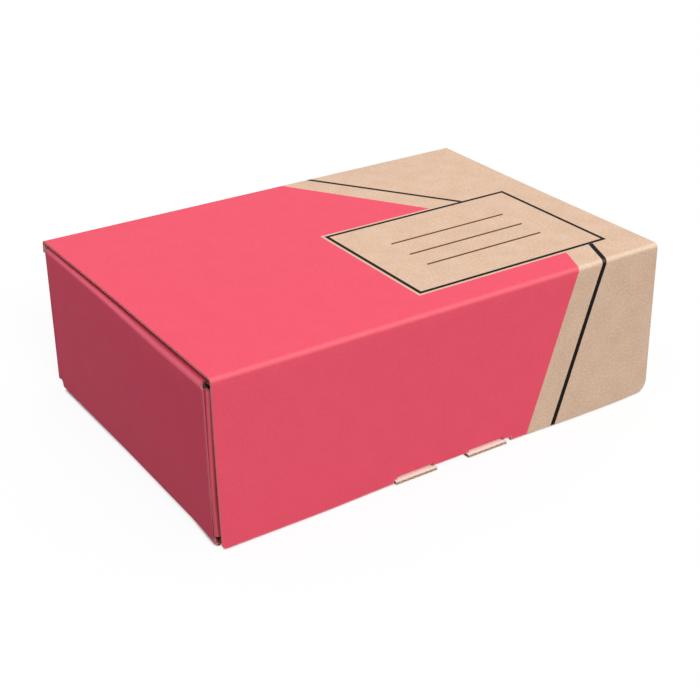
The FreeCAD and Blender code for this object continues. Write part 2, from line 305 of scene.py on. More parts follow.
def kraft_paper(
    name,
    light,
    dark,
    printing=None,
    worn="#E3C6AC",
    crease_wear_and_highlight="#FFE9D0",
    roughness=PAPER_ROUGHNESS,
):
    """Unbleached kraft: matt, flecked, with short fibres that lie along the paper machine's run.

    printing adds the inks: it gets the blank's coordinates, the paper's tone and its colour, and
    gives back a colour and how much ink lies there. worn is the colour of its rubbed edges where
    they are bare, and crease_wear_and_highlight is the paler colour of its creases, which is partly
    wear and partly a painted highlight.
    """
    material = bpy.data.materials.new(name)
    material.use_nodes = True
    tree = material.node_tree
    finish = tree.nodes["Principled BSDF"]
    finish.inputs["IOR"].default_value = PAPER_IOR
    finish.inputs["Specular IOR Level"].default_value = PAPER_SHINE
    blank = add(tree, "ShaderNodeAttribute", {}, attribute_name="blank").outputs["Vector"]
    edge = add(tree, "ShaderNodeAttribute", {}, attribute_name="edge").outputs["Fac"]

    # clouds, flecks and fibres together move the paper between its two tones
    clouds = {"Vector": blank, "Scale": 1 / CLOUDS, "Detail": 2.0}
    clouds = add(tree, "ShaderNodeTexNoise", clouds)
    flecks = {"Vector": blank, "Scale": 1 / FLECKS, "Detail": 4.0}
    flecks = add(tree, "ShaderNodeTexNoise", flecks)
    drawn_out = {0: blank, 1: (1 / FIBRE_LENGTH, 1 / FIBRE_WIDTH, 1)}
    drawn_out = add(tree, "ShaderNodeVectorMath", drawn_out, operation="MULTIPLY")
    fibres = {"Vector": drawn_out.outputs[0], "Scale": 1.0, "Detail": 5.0}
    fibres = add(tree, "ShaderNodeTexNoise", fibres)
    tone = {0: clouds.outputs[0], 1: CLOUD_STRENGTH, 2: flecks.outputs[0]}
    tone = add(tree, "ShaderNodeMath", tone, operation="MULTIPLY_ADD")
    tone = {0: fibres.outputs[0], 1: FIBRE_STRENGTH, 2: tone.outputs[0]}
    tone = add(tree, "ShaderNodeMath", tone, operation="MULTIPLY_ADD")
    tone = {0: tone.outputs[0], 1: LIGHTEST, 2: DARKEST}
    tone = add(tree, "ShaderNodeMapRange", tone).outputs[0]
    paper = {0: tone, 6: linear(light), 7: linear(dark)}
    colour = add(tree, "ShaderNodeMix", paper, data_type="RGBA").outputs[2]
    finish.inputs["Roughness"].default_value = roughness
    paler, worn = CREASE_WEAR_AND_HIGHLIGHT, linear(worn)
    if printing:
        colour, inked = printing(tree, blank, tone, colour)
        gloss = add(tree, "ShaderNodeMapRange", {0: inked, 3: roughness, 4: INK_ROUGHNESS})
        tree.links.new(gloss.outputs[0], finish.inputs["Roughness"])
        paler = {0: inked, 3: paler, 4: INK_CREASE_WEAR_AND_HIGHLIGHT}
        paler = add(tree, "ShaderNodeMapRange", paler).outputs[0]
        worn = {0: inked, 6: worn, 7: linear(WORN_INK)}
        worn = add(tree, "ShaderNodeMix", worn, data_type="RGBA").outputs[2]

    # a crease is paler along its ridge: partly the paper stretched and rubbed there, partly a
    # painted highlight
    ridge = add(tree, "ShaderNodeSeparateXYZ", {0: blank}).outputs[2]
    ridge = add(tree, "ShaderNodeMath", {0: ridge, 1: paler}, operation="MULTIPLY").outputs[0]
    colour = {0: ridge, 6: colour, 7: linear(crease_wear_and_highlight)}
    colour = add(tree, "ShaderNodeMix", colour, data_type="RGBA").outputs[2]

    # along a cut edge the print is rubbed off in places and the paper is a little fluffy
    rubbing = add(tree, "ShaderNodeTexNoise", {"Vector": blank, "Scale": 1 / FLUFF, "Detail": 3.0})
    rubbed = add(tree, "ShaderNodeMath", {0: edge, 1: rubbing.outputs[0]})
    rubbed = {0: rubbed.outputs[0], 1: RUBBED_FROM, 2: RUBBED_TO, 4: RUBBED}
    rubbed = add(tree, "ShaderNodeMapRange", rubbed).outputs[0]
    colour = add(tree, "ShaderNodeMix", {0: rubbed, 6: colour, 7: worn}, data_type="RGBA")
    tree.links.new(colour.outputs[2], finish.inputs["Base Color"])

    # the flutes show through the liner as faint ribs, and the fibres as a fine grain
    ribs = add(tree, "ShaderNodeSeparateXYZ", {0: blank}).outputs[0]
    ribs = {0: ribs, 1: 2 * math.pi / FLUTE_PITCH}
    ribs = add(tree, "ShaderNodeMath", ribs, operation="MULTIPLY")
    ribs = add(tree, "ShaderNodeMath", {0: ribs.outputs[0]}, operation="SINE")
    grain = {0: fibres.outputs[0], 1: GRAIN_HEIGHT}
    grain = add(tree, "ShaderNodeMath", grain, operation="MULTIPLY")
    height = {0: ribs.outputs[0], 1: RIB_HEIGHT, 2: grain.outputs[0]}
    height = add(tree, "ShaderNodeMath", height, operation="MULTIPLY_ADD")
    bump = add(tree, "ShaderNodeBump", {"Height": height.outputs[0], "Distance": MILLIMETRE})
    tree.links.new(bump.outputs[0], finish.inputs["Normal"])
    return material


KRAFT, KRAFT_DARK = "#EACCB3", "#D3AF95"
INSIDE, INSIDE_DARK = "#F1DCC2", "#E2C7A8"
FLUTING, FLUTING_DARK = "#A98D70", "#8B6E52"
# the outer liner is bare kraft, a warm matt tan, and the inner one is a little lighter
bare_kraft = kraft_paper("bare kraft liner", KRAFT, KRAFT_DARK)
inside_kraft = kraft_paper("inside kraft liner", INSIDE, INSIDE_DARK)
# on the upper faces of the tongues the inner liner is painted nearly white: a painted highlight
# where they face the light from above
painted_highlight_kraft = kraft_paper("inside kraft liner with a painted highlight", "#FFFDF2", "#FAF0E0")
# the waved paper is duller and darker, and shows as a thin dark wave in a cut edge
waved_kraft = kraft_paper("fluting paper", FLUTING, FLUTING_DARK)

PINK, PINK_DEEP = "#F55D73", "#ED546A"
BLEED = 118.0  # how far left of the middle the pink of the left side ends on the base
INK_EDGE = 0.1  # half the width over which an ink ends, where it soaks into the paper


def bleed_print(tree, blank, tone, paper):
    """The pink of the left side, which runs on a little way past its crease."""
    ink = add(tree, "ShaderNodeSeparateXYZ", {0: blank}).outputs[0]
    ink = {0: ink, 1: INK_EDGE - BLEED, 2: -INK_EDGE - BLEED}
    ink = add(tree, "ShaderNodeMapRange", ink).outputs[0]
    inks = {0: tone, 6: linear(PINK), 7: linear(PINK_DEEP)}
    inks = add(tree, "ShaderNodeMix", inks, data_type="RGBA").outputs[2]
    colour = {0: ink, 6: paper, 7: inks}
    return add(tree, "ShaderNodeMix", colour, data_type="RGBA").outputs[2], ink


# bare kraft with a matt pink strip along its left edge, left over from the side's print
bled_kraft = kraft_paper("kraft liner with the pink bled over", KRAFT, KRAFT_DARK, bleed_print)

LOCK_TONGUE = 24.0  # how wide a tongue is
LOCK_PLACES = (-23.0, 20.0)  # where the middles of the two are
SLOT_RELIEF = 2.5  # how much wider the slot of a tongue is at each end
PLY_GAP = 0.2  # between two layers of board
LAYER = BOARD + PLY_GAP
TIGHT_CREASE = 0.5  # the inside radius where a dust flap turns back
TIGHT_FOLD = BOARD + TIGHT_CREASE
ROLL_DROP = 2.0  # how far below the lid the rolls of the sides lie
ROLL_RADIUS = LAYER + BOARD / 2
SIDE_SETBACK = 4.0  # how far the sides stop short of the back
CORNER_CLEARANCE = 1.0  # between the front wall and the inner layer of a side
WARP = 1.4  # how far the sides of the base stand off the floor at most
WARP_RISE = 18.0  # how much of the base it takes to rise behind the front wall
WARP_FADE, WARP_AT_BACK = 80.0, 0.35  # over how much of the rear it fades, and what is left
WARP_CURL = 6  # a high power keeps it to the outer edges
WARP_HEIGHT = 20.0  # how far up the walls it is felt
WALL_BOW = 1.8  # how far the dust flaps draw back the ends of the front wall
BOW_REACH = 12.0  # how much of the wall bends so
BOW_RISE = 8.0  # how far up from the base's fold it grows
BOW_AT_FOOT, BOW_AT_TOP = 1.25, 0.5  # how its strength changes with height
FOOT_PITCH = 90.0  # from foot to foot
FOOT_LENGTH = 28.0
FOOT_CLEARANCE = 0.3  # round a foot in its slot
BASE_STEP = 25.0  # the most between its mesh lines
roll_middle = top - BOARD - ROLL_DROP - ROLL_RADIUS
dust_top = roll_middle - BOARD / 2  # the top of the front wall too
dust_side = outer_side - LAYER  # how far out the dust flaps are
inner_side = dust_side - LAYER  # and the inner layers of the sides
wall_side = dust_side - TIGHT_FOLD  # and the front and back walls, before they turn back
base_side = outer_side - FOLD
inner_front = wall + BOARD + CORNER_CLEARANCE
side_back = back - SIDE_SETBACK
feet = [(inner_front + side_back) / 2 + half for half in (-FOOT_PITCH / 2, FOOT_PITCH / 2)]
tongue_length = front_crease - tongue_tip

base_strip = Strip(
    (back, FOLD), -90, [(90, CREASE), back - FOLD - front_crease, (90, CREASE), dust_top - FOLD]
)
rear_end, base_end, wall_start, wall_end = base_strip.marks[1:]
slot_top = base_end + tongue_length
foot_half = FOOT_LENGTH / 2 + FOOT_CLEARANCE
foot_spans = [
    [base_end - (middle + sign * foot_half - front_crease) for sign in (1, -1)] for middle in feet
]
slot_sides = [inner_side - BOARD - FOOT_CLEARANCE, inner_side + FOOT_CLEARANCE]
slot_half = LOCK_TONGUE / 2 + SLOT_RELIEF


def near_one(across, middles, half):
    """True inside the pieces that reach this far to each side of their middles."""
    return sum(np.abs(across - middle) < half for middle in middles) > 0


def both_ends(middles, half):
    """Where pieces end that reach this far to each side of their middles."""
    return [middle + sign * half for middle in middles for sign in (-1, 1)]


def base_kept(run, across):
    kept = np.abs(across) < np.where(run < wall_start, base_side, wall_side)
    kept &= ~(near_one(across, LOCK_PLACES, slot_half) & (run > base_end) & (run < slot_top))
    in_slots = (np.abs(across) > slot_sides[0]) & (np.abs(across) < slot_sides[1])
    for start, end in foot_spans:
        kept &= ~(in_slots & (run > start) & (run < end))
    return kept


def growing(distance, reach):
    """0 where the distance is nothing, and evenly up to 1 at the reach and beyond it."""
    return np.clip(distance / reach, 0, 1)


def fading(distance, reach):
    """1 where the distance is nothing, and evenly down to 0 at the reach and beyond it."""
    return np.clip(1 - distance / reach, 0, 1)


def lift(across, y):
    """How far the warped base stands off the floor along its sides, most of it near the front."""
    left = WARP_AT_BACK + (1 - WARP_AT_BACK) * growing(side_back - y, WARP_FADE)
    along = growing(y - wall, WARP_RISE) * left
    return WARP * along * (np.abs(across) / base_side) ** WARP_CURL


def drawn_back(z):
    """How far back the ends of the front wall are at this height."""
    share = BOW_AT_FOOT + (BOW_AT_TOP - BOW_AT_FOOT) * z / top
    return WALL_BOW * growing(z - FOLD, BOW_RISE) * share


def base_place(run, across, depth):
    y, z = base_strip.at(run, depth)
    at_ends = fading(wall_side - np.abs(across), BOW_REACH) * (run > base_end)
    y = y + drawn_back(z) * at_ends
    return np.stack((across, y, z + lift(across, y) * fading(z - BOARD, WARP_HEIGHT)))


PINK_STAIN = "#8E3A4A"
SOAKED_IN, SOAKED_FULL = 1.5, 0.5  # how far in the ink has soaked, and how far at full strength


def edge_soak_and_painted_light(direction, edge, reach, full, colour):
    """The pink that a cut edge has soaked up, in the colour given, which at some edges also
    carries painted shade or a painted highlight. direction is 0 across the sheet, or 1 along it.
    """

    def stain_and_painted_light(tree, blank, tone, paper):
        soak_and_painted_light = add(tree, "ShaderNodeSeparateXYZ", {0: blank}).outputs[direction]
        soak_and_painted_light = {0: soak_and_painted_light, 1: edge + reach, 2: edge + full}
        soak_and_painted_light = add(tree, "ShaderNodeMapRange", soak_and_painted_light).outputs[0]
        stained_and_painted_light = {0: soak_and_painted_light, 6: paper, 7: linear(colour)}
        return add(tree, "ShaderNodeMix", stained_and_painted_light, data_type="RGBA").outputs[2], soak_and_painted_light

    return stain_and_painted_light


# where ink got into the board's cut left edge, it shows as a dark wine-red line
base_stain = edge_soak_and_painted_light(0, -base_side, SOAKED_IN, SOAKED_FULL, PINK_STAIN)
base_waves = kraft_paper("fluting paper of the base", FLUTING, FLUTING_DARK, base_stain)
base_inside = kraft_paper("inside kraft liner of the base", INSIDE, INSIDE_DARK, base_stain)
bend_start = wall_side - BOW_REACH
across_cuts = [sign * place for sign in (-1, 1) for place in (wall_side, bend_start, *slot_sides)]
across_cuts += both_ends(LOCK_PLACES, slot_half)
base_lines = (
    base_strip.lines(0, wall_end, [rear_end, base_end, slot_top, *sum(foot_spans, [])]),
    with_cuts(spaced(-base_side, base_side, BASE_STEP), -base_side, base_side, across_cuts),
)
kraft_papers = (bare_kraft, waved_kraft, inside_kraft)
base = board(
    "base",
    "carton",
    base_strip,
    base_lines,
    base_kept,
    base_place,
    flutes_across=False,
    joined=lambda run, across: (np.abs(across) > wall_side - HAIR) | (run < HAIR),
    papers=(bled_kraft, base_waves, base_inside),
)
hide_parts("folded_carton")

tongue_strip = Strip((front_crease, 0), 180, [tongue_length])
tongue_edges = both_ends(LOCK_PLACES, LOCK_TONGUE / 2)


def tongue_kept(run, across):
    return near_one(across, LOCK_PLACES, LOCK_TONGUE / 2)


def tongue_place(run, across, depth):
    return np.stack((across, *tongue_strip.at(run, depth)))


tongue_lines = (
    tongue_strip.lines(0, tongue_length),
    with_cuts([], tongue_edges[0], tongue_edges[-1], tongue_edges),
)
board(
    "lock_tongues",
    "carton",
    tongue_strip,
    tongue_lines,
    tongue_kept,
    tongue_place,
    flutes_across=False,
    joined=lambda run, across: run < HAIR,
    papers=(bare_kraft, waved_kraft, painted_highlight_kraft),
)

# ---- the rolled sides -------------------------------------------------------------------------
# Each side turns up from the base, rolls over at the top and comes down again inside itself. It
# ends in two feet that snap into slots in the base and hold it. The left one is printed all over
# with the pink ink, and the right one is left bare.

FRONT_SLANT = (2.2, 4.2)  # how far each side's front end is cut back, at its foot and at its roll
REAR_SLANT = (5.0, 0.0)  # and its rear end
SLANT_REACH = 22.0  # how much of the side's length each slant takes up
TOE, TOE_HEIGHT = 2.4, 5.0  # how far its lowest corner points forward again, and how high that is
ROLL_SET_BACK = 2.0  # how much further back the roll's end lies
SET_BACK_RISE = 1.5  # and over how much height it steps back
SIDE_SAG = 1.5  # how much lower the outer half lies towards the front
SAG_START, SAG_REACH = 15.0, 55.0  # how far behind the middle that starts, and how soon it is full
SIDE_CRUSHED = 0.7  # how much thinner the die leaves the board at the front end
PRESSED_REACH = 6.0  # and how far in from the end
END_CRUSHED = 0.75  # how far it presses the waves together there, from 0 to 1
CRUSH_REACH = 1.2  # and how far in they are closed
FOOT_SHORT = 0.3  # how far above the underside the feet end
SIDE_STEP = 12.0  # the most between its mesh lines
side_strip = Strip(
    (-base_side, 0),
    180,
    [
        (90, CREASE),
        roll_middle - FOLD,
        (180, ROLL_RADIUS - BOARD),
        roll_middle - LAYER,
        LAYER - FOOT_SHORT,
    ],
)
roll_end, feet_start, feet_end = side_strip.marks[3:]
side_middle = (wall + side_back) / 2
foot_edges = both_ends(feet, FOOT_LENGTH / 2)


def side_kept(run, across):
    kept = (run < roll_end) | (across > inner_front + WALL_BOW)
    return kept & ((run < feet_start) | near_one(across, feet, FOOT_LENGTH / 2))


# matt pink ink lies all over the liner, thicker than on the lid, so the kraft hardly shows
pink_kraft = kraft_paper(
    "pink flooded kraft liner",
    "#F55A76",
    "#ED516D",
    # its rubbed edges are a darkened pink, partly painted shade
    worn="#C46E7A",
    crease_wear_and_highlight="#FF9CA8",
    roughness=INK_ROUGHNESS,
)
# the cut edges soak up the ink, and their dull dark pink is partly painted shade, darkened so that
# edges facing the lamp look as dim as the side
stained_and_shaded_waves = kraft_paper("fluting paper stained pink with painted shade", "#B85A68", "#A04A58", worn="#BC6470")
END_SOAKED_IN, END_SOAKED_FULL = 3.0, 1.0  # the same two measures at a side's front end
end_stain_and_shade = edge_soak_and_painted_light(1, wall, END_SOAKED_IN, END_SOAKED_FULL, "#B0505E")
stained_and_shaded_inside = kraft_paper(
    "inside kraft liner with stained edges and painted shade", INSIDE, INSIDE_DARK, end_stain_and_shade, worn="#B85A68"
)
pink_papers = (pink_kraft, stained_and_shaded_waves, stained_and_shaded_inside)
side_runs = side_strip.lines(0, feet_end, [roll_end, feet_start])
side_cuts = [inner_front + WALL_BOW, *foot_edges]
side_across = with_cuts(spaced(wall, side_back, SIDE_STEP), wall, side_back, side_cuts)
side_across = with_cuts([*side_across, wall + PRESSED_REACH], wall, side_back)
for name, sign, papers in (("left_side", -1, pink_papers), ("right_side", 1, kraft_papers)):

    def side_place(run, across, depth, sign=sign):
        pressed = SIDE_CRUSHED / BOARD * fading(across - wall, PRESSED_REACH)
        x, z = side_strip.at(run, depth * (1 - pressed))
        high = np.clip(z / top, 0, 1)
        front = FRONT_SLANT[0] + (FRONT_SLANT[1] - FRONT_SLANT[0]) * high
        front = front - TOE * fading(z, TOE_HEIGHT) * (run < roll_end)
        front = front + ROLL_SET_BACK * growing(z - roll_middle, SET_BACK_RISE)
        outer = fading(x + outer_side, 2 * ROLL_RADIUS)
        z = z - SIDE_SAG * high * outer * growing(side_middle + SAG_START - across, SAG_REACH)
        rear = REAR_SLANT[0] + (REAR_SLANT[1] - REAR_SLANT[0]) * high
        y = across + front * fading(across - wall, SLANT_REACH)
        y = y - rear * fading(side_back - across, SLANT_REACH)
        z = z + lift(base_side, across) * fading(z, WARP_HEIGHT) * (run < roll_end)
        return np.stack((-sign * x, y, z))

    board(
        name,
        "carton",
        side_strip,
        (side_runs, side_across[::sign]),
        side_kept,
        side_place,
        flutes_across=True,
        joined=lambda run, across: run < HAIR,
        papers=papers,
        crushed=lambda run, across: END_CRUSHED * fading(across - wall, CRUSH_REACH),
    )

# ---- the dust flaps ---------------------------------------------------------------------------
# Four tapered flaps of the same board turn back from the ends of the front and back walls. Each
# lies between the two layers of a rolled side, which clamp it and so hold the corner.

DUST_FLAP = 62.0  # how long a flap is
DUST_FOOT = 4.0  # how far above the floor it starts
DUST_TAPER = 10.0  # how much each of its edges comes in towards its end
REAR_BULGE = 1.4  # how far the rear folds spring out
REAR_BULGE_REACH = 8.0  # and over how much of the flap that fades
FRONT_BULGE = 0.6  # how far the front folds do
BULGE_RISE = 1.5  # how far round the fold that is full
PAST_FOLD = 2.4  # how far round it starts to fade, and the wall's bow with it
BULGE_REACH, BOW_TAIL = 3.0, 6.0  # and over how much of the flap each of the two fades
DUST_STEP = 24.0  # the most between its mesh lines
dust_strip = Strip((-wall_side, wall), 180, [(90, TIGHT_CREASE), DUST_FLAP])
dust_bend, dust_end = dust_strip.marks[1:]
dust_height = dust_top - DUST_FOOT
dust_lines = (
    dust_strip.lines(0, dust_end),
    with_cuts(spaced(DUST_FOOT, dust_top, DUST_STEP), DUST_FOOT, dust_top),
)
for across_name, across_sign in (("left", -1), ("right", 1)):
    for depth_name, depth_sign in (("front", 1), ("rear", -1)):

        def dust_place(run, height, depth, turned=-across_sign, mirrored=depth_sign):
            x, y = dust_strip.at(run, depth)
            taper = DUST_TAPER * growing(run - dust_bend, DUST_FLAP)
            z = DUST_FOOT + taper + (height - DUST_FOOT) * (1 - 2 * taper / dust_height)
            middle = (wall + back) / 2
            if mirrored > 0:
                bulge = FRONT_BULGE * growing(run, BULGE_RISE)
                bulge = bulge * fading(run - PAST_FOLD, BULGE_REACH)
                y = y + drawn_back(height) * fading(run - PAST_FOLD, BOW_TAIL)
            else:
                bulge = REAR_BULGE * fading(run, REAR_BULGE_REACH)
            return np.stack((turned * (x - bulge), middle + mirrored * (y - middle), z))

        board(
            f"{depth_name}_{across_name}_dust_flap",
            "carton",
            dust_strip,
            (dust_lines[0], dust_lines[1][:: -across_sign * depth_sign]),
            lambda run, height: run >= 0,
            dust_place,
            flutes_across=True,
            joined=lambda run, height: run < HAIR,
            papers=pink_papers if across_sign < 0 else kraft_papers,
        )

# ---- the back wall, the lid and the front flap ------------------------------------------------
# One run of board: the wall turns up from the base, folds over into the lid, and the lid folds
# down into the flap that hangs outside the front wall. It is printed with a pink field whose
# edge is a broad arrow head, a black line beside that edge, and a framed space for an address.

FLAP_LEAN = 2.4  # how far the foot of the closed flap springs away from the wall
LOCKED_LEAN, LOCKED_REACH = 1.0, 60.0  # and how far in the middle, where the tabs hold it
CORNER_LEAN, CORNER_START = 0.9, 100.0  # and at the soft lower right corner
LEAN_CURVE = 1.3  # a power over 1 keeps most of it near the foot
CRUSHED = 0.4  # how much thinner the die leaves the board at a cut edge
CRUSHED_REACH = 1.6  # and how far in from the edge
LID_SPREAD = 1.2  # how much wider each side of the lid is at the back
SPREAD_LENGTH = 75.0  # over how much of the lid it grows to that
SPREAD_REACH = 12.0  # and how far in from the sides the board is drawn out
TAB_GAP = 0.6  # between a tongue and the tab that lies on it
TAB_INSET = 1.5  # how much narrower a tab is than a tongue, at each end
TAB_HALF = LOCK_TONGUE / 2 - TAB_INSET
TAB_CLEARANCE = 0.15  # at each end of a tab, where it leaves the flap
RECESS_ROOM = (0.6, 3.4)  # how far past the tongues the recess goes, left and right
ROUNDED_CORNERS = ((-1, 2.0, 2.0), (1, 6.0, 6.1))  # which side, how wide, how high
ROUNDED_STEPS = 10  # mesh lines in each
ROUNDED_BELOW = 14.0  # how much of the flap's height gives way for them
LID_STEP, FLAP_STEP = 8.0, 6.0  # the most between their mesh lines
flap_length = top - FOLD - flap_low.z
lid_length = back - FOLD - (face + FOLD)
back_length = top - 2 * FOLD
lid_strip = Strip(
    (face, flap_low.z), 90, [flap_length, (90, CREASE), lid_length, (90, CREASE), back_length]
)
lid_fold, lid_start, lid_end, back_start, back_end = lid_strip.marks[1:]
fold_ridge = (lid_fold + lid_start) / 2
back_head = back_end - (dust_top - FOLD)
tab_foot = BOARD + TAB_GAP
recess_top = tab_foot - flap_low.z
notch_top = tab_foot + FOLD - flap_low.z
recess_left = LOCK_PLACES[0] - LOCK_TONGUE / 2 - RECESS_ROOM[0]
recess_right = LOCK_PLACES[1] + LOCK_TONGUE / 2 + RECESS_ROOM[1]
notch_half = TAB_HALF + TAB_CLEARANCE


def lean(across):
    """How far the foot of the flap stands off."""
    held = (FLAP_LEAN - LOCKED_LEAN) * np.exp(-((across / LOCKED_REACH) ** 4))
    soft = (FLAP_LEAN - CORNER_LEAN) * growing(across - CORNER_START, lid_side - CORNER_START) ** 2
    return FLAP_LEAN - held - soft


def lid_seams(run, across):
    at_tabs = near_one(across, LOCK_PLACES, notch_half + HAIR)
    at_tabs &= (run > recess_top + HAIR) & (run < notch_top + HAIR)
    at_dust_flaps = (run > back_head) & (np.abs(across) > wall_side - HAIR)
    return at_tabs | at_dust_flaps | (run > back_end - HAIR)


def lid_kept(run, across):
    kept = (run < back_head) | (np.abs(across) < wall_side)
    kept &= ~((run < recess_top) & (across > recess_left) & (across < recess_right))
    return kept & ~((run < notch_top) & near_one(across, LOCK_PLACES, notch_half))


def lid_place(run, across, depth):
    rise = 0 * across
    for sign, wide, high in ROUNDED_CORNERS:
        reach = fading(lid_side - sign * across, wide)
        rise = rise + high * (1 - np.sqrt(1 - reach**2))
    rise = rise * fading(run, ROUNDED_BELOW)
    out = lean(across) * fading(run, flap_length) ** LEAN_CURVE
    edge = fading(lid_side - np.abs(across), CRUSHED_REACH) * (run < back_start)
    deep = depth * (1 - CRUSHED / BOARD * edge) - out
    spread = LID_SPREAD * fading(lid_end - run, SPREAD_LENGTH)
    spread += (REAR_BULGE - LID_SPREAD) * growing(run - back_start, back_head - back_start)
    spread *= fading(wall_side - np.abs(across), SPREAD_REACH)
    return np.stack((across + np.sign(across) * spread, *lid_strip.at(run + rise, deep)))


def lid_crushed(run, across):
    return fading(lid_side - np.abs(across), CRUSH_REACH) * (run < lid_start)


# each edge: where it crosses the front fold, how far it moves right for each millimetre back on
# the flap and on the lid, and the same two numbers for the arrow head's rear edge
PINK_EDGE = (75.1, 0.358, 0.414, 127.2, -0.643)
BLACK_LINE = (91.9, 0.361, 0.418, 148.9, -0.667)
BLACK_LINE_HALF = 1.4  # half of its width
ADDRESS_FRAME = (-7.2, 110.3, 18.0, 101.6)  # left, right, front and rear
ADDRESS_BORDER = 2.0  # how wide its black border is
ADDRESS_MARGIN = 1.4  # the bare paper between the border and the pink
WRITING_LINES = (43.6, 58.4, 74.3)  # how far behind the front fold each is
WRITING_SPAN = (15.9, 88.3)  # left and right
WRITING_HALF = 0.75  # half of the width of each
BLACK = "#0C0605"
BROWN = "#6A4A2E"


def lid_print(tree, blank, tone, paper):
    """The pink field, the black line and the address frame, measured on the flat sheet."""
    split = add(tree, "ShaderNodeSeparateXYZ", {0: blank})
    across, along = split.outputs[0], split.outputs[1]
    forward = add(tree, "ShaderNodeMath", {0: along, 1: 0.0}, operation="MINIMUM").outputs[0]
    behind = add(tree, "ShaderNodeMath", {0: along, 1: 0.0}, operation="MAXIMUM").outputs[0]

    def right_of_arrow(at_fold, flap_slope, lid_slope, rear_start, rear_slope):
        """How far a point lies to the right of an arrow head with its point on the lid."""
        front = {0: forward, 1: flap_slope, 2: at_fold}
        front = add(tree, "ShaderNodeMath", front, operation="MULTIPLY_ADD")
        front = {0: behind, 1: lid_slope, 2: front.outputs[0]}
        front = add(tree, "ShaderNodeMath", front, operation="MULTIPLY_ADD")
        rear = {0: along, 1: rear_slope, 2: rear_start}
        rear = add(tree, "ShaderNodeMath", rear, operation="MULTIPLY_ADD")
        nearer = {0: front.outputs[0], 1: rear.outputs[0]}
        nearer = add(tree, "ShaderNodeMath", nearer, operation="MINIMUM")
        right = {0: across, 1: nearer.outputs[0]}
        return add(tree, "ShaderNodeMath", right, operation="SUBTRACT").outputs[0]

    def outside_frame(left, right, front, rear):
        """How far a point lies outside a rectangle, below nothing when it is inside."""
        middle = ((left + right) / 2, (front + rear) / 2, 0)
        half = ((right - left) / 2, (rear - front) / 2, 0)
        away = add(tree, "ShaderNodeVectorMath", {0: blank, 1: middle}, operation="SUBTRACT")
        away = add(tree, "ShaderNodeVectorMath", {0: away.outputs[0]}, operation="ABSOLUTE")
        away = {0: away.outputs[0], 1: half}
        away = add(tree, "ShaderNodeVectorMath", away, operation="SUBTRACT")
        away = add(tree, "ShaderNodeSeparateXYZ", {0: away.outputs[0]})
        away = {0: away.outputs[0], 1: away.outputs[1]}
        return add(tree, "ShaderNodeMath", away, operation="MAXIMUM").outputs[0]

    # the pink field leaves the address space and its margin bare
    pink = right_of_arrow(*PINK_EDGE)
    pink = add(tree, "ShaderNodeMapRange", {0: pink, 1: INK_EDGE, 2: -INK_EDGE}).outputs[0]
    address = outside_frame(*ADDRESS_FRAME)
    clear = {0: address, 1: ADDRESS_MARGIN - INK_EDGE, 2: ADDRESS_MARGIN + INK_EDGE}
    clear = add(tree, "ShaderNodeMapRange", clear).outputs[0]
    pink = add(tree, "ShaderNodeMath", {0: pink, 1: clear}, operation="MULTIPLY").outputs[0]

    # the black line stops at the address space
    line = add(tree, "ShaderNodeMath", {0: right_of_arrow(*BLACK_LINE)}, operation="ABSOLUTE")
    line = {0: line.outputs[0], 1: BLACK_LINE_HALF + INK_EDGE, 2: BLACK_LINE_HALF - INK_EDGE}
    line = add(tree, "ShaderNodeMapRange", line).outputs[0]
    clear = {0: address, 1: 0.0, 2: 2 * INK_EDGE}
    clear = add(tree, "ShaderNodeMapRange", clear).outputs[0]
    line = add(tree, "ShaderNodeMath", {0: line, 1: clear}, operation="MULTIPLY").outputs[0]
    # its point would show beside the address space, where it is left out
    clear = {0: across, 1: ADDRESS_FRAME[1] + INK_EDGE, 2: ADDRESS_FRAME[1] - INK_EDGE}
    clear = add(tree, "ShaderNodeMapRange", clear).outputs[0]
    line = add(tree, "ShaderNodeMath", {0: line, 1: clear}, operation="MULTIPLY").outputs[0]
    border = add(tree, "ShaderNodeMath", {0: address, 1: ADDRESS_BORDER / 2}).outputs[0]
    border = add(tree, "ShaderNodeMath", {0: border}, operation="ABSOLUTE").outputs[0]
    border = {0: border, 1: ADDRESS_BORDER / 2 + INK_EDGE, 2: ADDRESS_BORDER / 2 - INK_EDGE}
    border = add(tree, "ShaderNodeMapRange", border).outputs[0]
    black = add(tree, "ShaderNodeMath", {0: line, 1: border}, operation="MAXIMUM").outputs[0]

    inks = {0: tone, 6: linear(PINK), 7: linear(PINK_DEEP)}
    inks = add(tree, "ShaderNodeMix", inks, data_type="RGBA").outputs[2]
    colour = {0: pink, 6: paper, 7: inks}
    colour = add(tree, "ShaderNodeMix", colour, data_type="RGBA").outputs[2]
    colour = {0: black, 6: colour, 7: linear(BLACK)}
    colour = add(tree, "ShaderNodeMix", colour, data_type="RGBA").outputs[2]
    for distance in WRITING_LINES:
        rule = outside_frame(*WRITING_SPAN, distance - WRITING_HALF, distance + WRITING_HALF)
        rule = add(tree, "ShaderNodeMapRange", {0: rule, 1: INK_EDGE, 2: -INK_EDGE}).outputs[0]
        rule = {0: rule, 6: colour, 7: linear(BROWN)}
        colour = add(tree, "ShaderNodeMix", rule, data_type="RGBA").outputs[2]
    covered = add(tree, "ShaderNodeMath", {0: pink, 1: black}, operation="MAXIMUM").outputs[0]
    return colour, covered


# flat matt inks on kraft: they hide its flecks a little and shine a little more than it does
printed_kraft = kraft_paper("printed kraft liner", KRAFT, KRAFT_DARK, lid_print)
